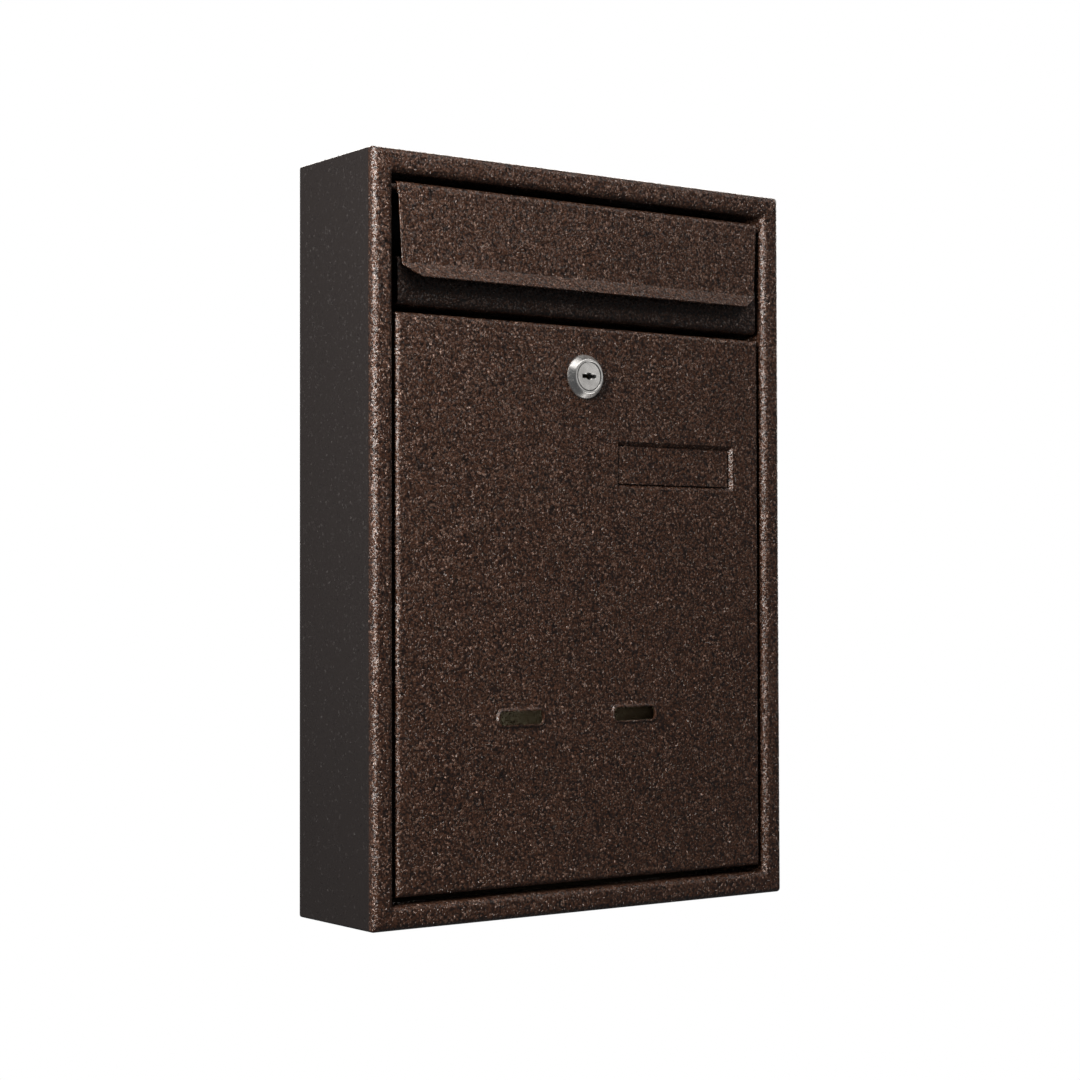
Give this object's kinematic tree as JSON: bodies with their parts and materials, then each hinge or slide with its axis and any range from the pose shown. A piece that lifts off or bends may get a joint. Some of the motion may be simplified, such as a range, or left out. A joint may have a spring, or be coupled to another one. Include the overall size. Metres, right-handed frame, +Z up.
{
  "type": "wall mounted mailbox",
  "caption": "Wall mounted sheet metal mailbox: a lift-up flap over the mail slot above a locking drop-down door with a name card recess and sight slots.",
  "frame": {"origin": "centre of the back face, where it lies on the wall", "axes": "+Z up, +Y into the wall, +X to the right as seen from the front"},
  "size_m": [0.22, 0.0629, 0.32],
  "materials": {
    "hammered_paint": "dark copper brown hammered paint with fine bright metallic flecks",
    "zinc_steel": "zinc plated, satin",
    "rod_cap_steel": "spring steel push-on caps, satin",
    "satin_chrome": "satin",
    "wafer_brass": "stamped, satin",
    "spring_steel": "drawn wire"
  },
  "bodies": {
    "case": {"case_shell": "hammered_paint", "back_panel": "hammered_paint", "cross_rail": "hammered_paint", "flap_hinge_rod": "zinc_steel", "flap_rod_cap_left": "rod_cap_steel", "flap_rod_cap_right": "rod_cap_steel", "door_hinge_rod": "zinc_steel", "door_rod_cap_left": "rod_cap_steel", "door_rod_cap_right": "rod_cap_steel"},
    "flap": {"mail_flap": "hammered_paint"},
    "door": {"door_panel": "hammered_paint", "lock_housing": "satin_chrome", "lock_washer": "zinc_steel", "lock_nut": "zinc_steel"},
    "lock_rotor": {"lock_plug": "satin_chrome", "lock_cam": "zinc_steel", "lock_cam_washer": "zinc_steel", "lock_cam_screw": "zinc_steel", "lock_wafer_1": "wafer_brass", "lock_wafer_2": "wafer_brass", "lock_wafer_3": "wafer_brass", "lock_wafer_4": "wafer_brass", "lock_wafer_spring_1": "spring_steel", "lock_wafer_spring_2": "spring_steel", "lock_wafer_spring_3": "spring_steel", "lock_wafer_spring_4": "spring_steel"}
  },
  "joints": [
    {"name": "flap_hinge", "type": "hinge", "parent": "case", "child": "flap", "pos_m": [0, -0.05595, 0.14445], "axis": [-1, 0, 0], "range_deg": [0, 125]},
    {"name": "door_hinge", "type": "hinge", "parent": "case", "child": "door", "pos_m": [0, -0.0515, -0.14], "axis": [1, 0, 0], "range_deg": [0, 110]},
    {"name": "lock_turn", "type": "hinge", "parent": "door", "child": "lock_rotor", "pos_m": [-0.002, -0.0585, 0.0711], "axis": [0, -1, 0], "range_deg": [0, 90]}
  ]
}
